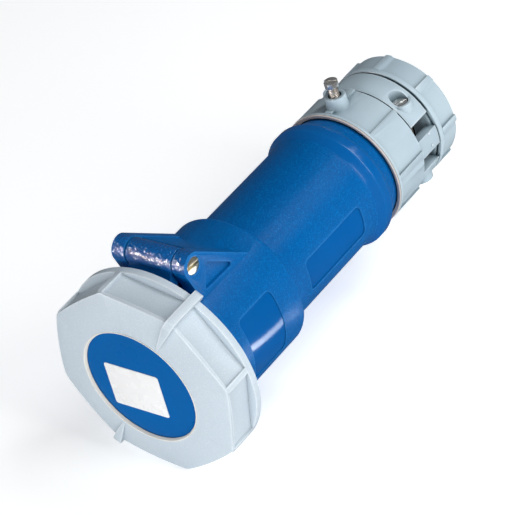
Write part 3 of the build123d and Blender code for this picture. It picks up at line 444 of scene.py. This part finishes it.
threadCut = {"pitch": 0.95, "steps": 18}      # millimetres from turn to turn, and steps in a turn
screwThreads = {
    # millimetres in the clamp's frame: place across and along, the thread's ends, and the shank's and ridge's radii
    "lockThread": {"at": (0.0, 185.0), "from": 39.8, "to": 47.4, "shank": 2.4, "ridge": 0.36,
                   "body": "coupler"},
    "nearClampThread": {"at": (21.5, 208.3), "from": -25.0, "to": 20.6, "shank": 2.45, "ridge": 0.32,
                        "body": "upper_clamp"},
    "farClampThread": {"at": (-21.5, 208.3), "from": -25.0, "to": 20.6, "shank": 2.45, "ridge": 0.32,
                       "body": "upper_clamp"},
}
for name, thread in screwThreads.items():
    deselectAll()
    bpy.ops.mesh.primitive_circle_add(
        vertices=3, radius=thread["ridge"] / 1000, location=(thread["shank"] / 1000, 0, 0),
        rotation=(math.radians(90), math.radians(90), 0))
    ridge = bpy.context.object
    bpy.ops.object.transform_apply(location=True, rotation=True, scale=True)
    turns = int((thread["to"] - thread["from"]) / threadCut["pitch"])
    applyModifier(ridge, "SCREW", axis="Z", angle=2 * math.pi, iterations=turns,
                  screw_offset=threadCut["pitch"] / 1000, steps=threadCut["steps"], render_steps=threadCut["steps"])
    tidyMesh(ridge)
    ridge.location = clampPoint(thread["at"][0], thread["at"][1], thread["from"])
    ridge.rotation_euler = (0, -glandTurn, 0)
    settlePiece(ridge, name, wornThread, thread["body"])

knuckleSeam = {"radius": 0.00678, "line": 0.00014, "corners": 6, "first": -70, "sweep": 230, "steps": 48}
deselectAll()
bpy.ops.mesh.primitive_circle_add(
    vertices=knuckleSeam["corners"], radius=knuckleSeam["line"],
    location=(0, hingeAxis[1], hingeAxis[2] + knuckleSeam["radius"]), rotation=(0, math.radians(90), 0))
seam = bpy.context.object
bpy.ops.object.transform_apply(location=True, rotation=True, scale=True)
bpy.ops.object.mode_set(mode="EDIT")
bpy.ops.mesh.select_all(action="SELECT")
bpy.ops.transform.rotate(value=math.radians(knuckleSeam["first"]), orient_axis="X", center_override=hingeAxis)
bpy.ops.mesh.spin(steps=knuckleSeam["steps"], angle=math.radians(knuckleSeam["sweep"]), center=hingeAxis,
                  axis=(1, 0, 0))
bpy.ops.object.mode_set(mode="OBJECT")
tidyMesh(seam)
settlePiece(seam, "knuckleSeam", blueGrain, "lid")

lathe = {"steps": 128, "smooth": 30}
turnedRings = {
    # section corners as (radius, y), in millimetres
    "seatBand": {"section": [(33.9, 174.3), (35.9, 173.6), (36.25, 174.0), (35.0, 176.2), (33.9, 176.0)],
                 "material": seatBeige, "body": "coupler", "slot": "gland_grey_plastic"},
    "openingBead": {"section": [(33.25, -8.6), (33.2, -8.75), (33.85, -10.1), (34.0, -10.14), (34.3, -10.1),
                                (34.3, -8.6)],
                    "material": creamLip, "body": "ring", "slot": "light_grey_plastic"},
}
for name, ring in turnedRings.items():
    deselectAll()
    bpy.ops.mesh.primitive_circle_add(vertices=len(ring["section"]))
    band = bpy.context.object
    for vertex, (radius, y) in zip(band.data.vertices, ring["section"]):
        vertex.co = (radius / 1000, y / 1000, 0)
    makeActive(band)
    bpy.ops.object.mode_set(mode="EDIT")
    bpy.ops.mesh.select_all(action="SELECT")
    bpy.ops.mesh.spin(steps=lathe["steps"], angle=2 * math.pi, center=(0, 0, 0), axis=(0, 1, 0))
    bpy.ops.object.mode_set(mode="OBJECT")
    tidyMesh(band)
    bpy.ops.object.shade_smooth_by_angle(angle=math.radians(lathe["smooth"]))
    settlePiece(band, name, ring["material"], ring["body"])

ejectorMarks = {
    "radius": 0.00075, "rise": 0.00022, "corners": 20, "on": 0.0339, "y": 0.2102,
    "angles": {"upperEjectorMark": 11.5, "lowerEjectorMark": -0.8},
}
for name, angle in ejectorMarks["angles"].items():
    turn = math.radians(angle)
    deselectAll()
    bpy.ops.mesh.primitive_cylinder_add(
        vertices=ejectorMarks["corners"], radius=ejectorMarks["radius"], depth=2 * ejectorMarks["rise"],
        location=(ejectorMarks["on"] * math.cos(turn), ejectorMarks["y"], ejectorMarks["on"] * math.sin(turn)),
        rotation=(0, math.radians(90) - turn, 0))
    mark = bpy.context.object
    applyModifier(mark, "BEVEL", width=ejectorMarks["rise"] / 2, segments=dressing["segments"], limit_method="ANGLE",
                  angle_limit=math.radians(dressing["corner"]))
    settlePiece(mark, name, glandGrey, "coupler")
print("stage: small pieces added")


# Floor, lights and camera

studio = {
    "floorSize": 6.0, "floorColour": (0.88, 0.885, 0.89), "floorRough": 0.9, "floorGlow": 0.5, "floorGap": 0.0002,
    "sky": (0.93, 0.96, 1.0), "skyStrength": 0.085,
    "aim": (0.0, 0.10, 0.0),
}
lights = {
    "keySoftbox": {"place": (1.1, 0.05, 0.62), "size": (0.45, 0.8), "power": 7.8, "colour": (1.0, 1.0, 0.98)},
    "frontSoftbox": {"place": (0.20, -1.30, 0.34), "size": (0.7, 0.6), "power": 9.6, "colour": (0.98, 0.99, 1.0)},
    "topStrip": {"place": (0.60, 0.60, 1.00), "size": (0.3, 0.7), "power": 6.4, "colour": (0.95, 0.97, 1.0)},
    "leftRim": {"place": (-1.30, -0.15, 0.16), "size": (0.3, 0.3), "power": 1.8, "colour": (0.96, 0.98, 1.0)},
    "leftSparkle": {"place": (-0.74, -0.92, 0.30), "size": (0.14, 0.14), "power": 18.0, "colour": (0.97, 0.98, 1.0),
                    "glossOnly": True, "aim": (0.0, 0.02, 0.05)},
    "lowStrip": {"place": (0.0925, 0.0940, -0.054), "size": (0.056, 0.014), "power": 0.034, "colour": (0.88, 0.94, 1.0),
                 "glossOnly": True, "aim": (0.040, 0.045, 0.0)},
}

bpy.ops.mesh.primitive_plane_add(size=studio["floorSize"], location=(0, 0, cadBox[0][2] - studio["floorGap"]))
floor = bpy.context.object
floor.name = "floor"
floorPaint, _, floorShader = newMaterial("palePaper")
floorShader.inputs["Base Color"].default_value = (*studio["floorColour"], 1)
floorShader.inputs["Roughness"].default_value = studio["floorRough"]
floorShader.inputs["Emission Color"].default_value = (1, 1, 1, 1)
floorShader.inputs["Emission Strength"].default_value = studio["floorGlow"]
floor.data.materials.append(floorPaint)
floor.visible_glossy = False

world = bpy.data.worlds.new("studioSky")
world.use_nodes = True
world.node_tree.nodes["Background"].inputs["Color"].default_value = (*studio["sky"], 1)
world.node_tree.nodes["Background"].inputs["Strength"].default_value = studio["skyStrength"]
bpy.context.scene.world = world

for lightName, light in lights.items():
    bpy.ops.object.light_add(type="AREA", location=light["place"])
    lamp = bpy.context.object
    lamp.name = lightName
    lamp.data.shape = "RECTANGLE"
    lamp.data.size, lamp.data.size_y = light["size"]
    lamp.data.energy = light["power"]
    lamp.data.color = light["colour"]
    ray = Vector(light.get("aim", studio["aim"])) - Vector(light["place"])
    lamp.rotation_euler = ray.to_track_quat("-Z", "Y").to_euler()
    lamp.visible_camera = False
    lamp.visible_diffuse = not light.get("glossOnly", False)

shot = {
    "place": (0.8005, -0.7131, 0.8368),
    "right": (0.79678, 0.56282, -0.21995),
    "up": (-0.20710, 0.59629, 0.77560),
    "back": (0.56767, -0.57243, 0.59167),
    "lens": 191.8,
    "sensor": 36.0,
    "nearest": 0.05,
    "farthest": 20.0,
}
bpy.ops.object.camera_add()
camera = bpy.context.object
camera.name = "photoCamera"
cameraTurn = Matrix((shot["right"], shot["up"], shot["back"])).transposed()
camera.matrix_world = Matrix.Translation(shot["place"]) @ cameraTurn.to_4x4()
camera.data.lens = shot["lens"]
camera.data.sensor_width = shot["sensor"]
camera.data.clip_start, camera.data.clip_end = shot["nearest"], shot["farthest"]
bpy.context.scene.camera = camera
bpy.context.scene.view_settings.view_transform = "Standard"
print("stage: studio set")
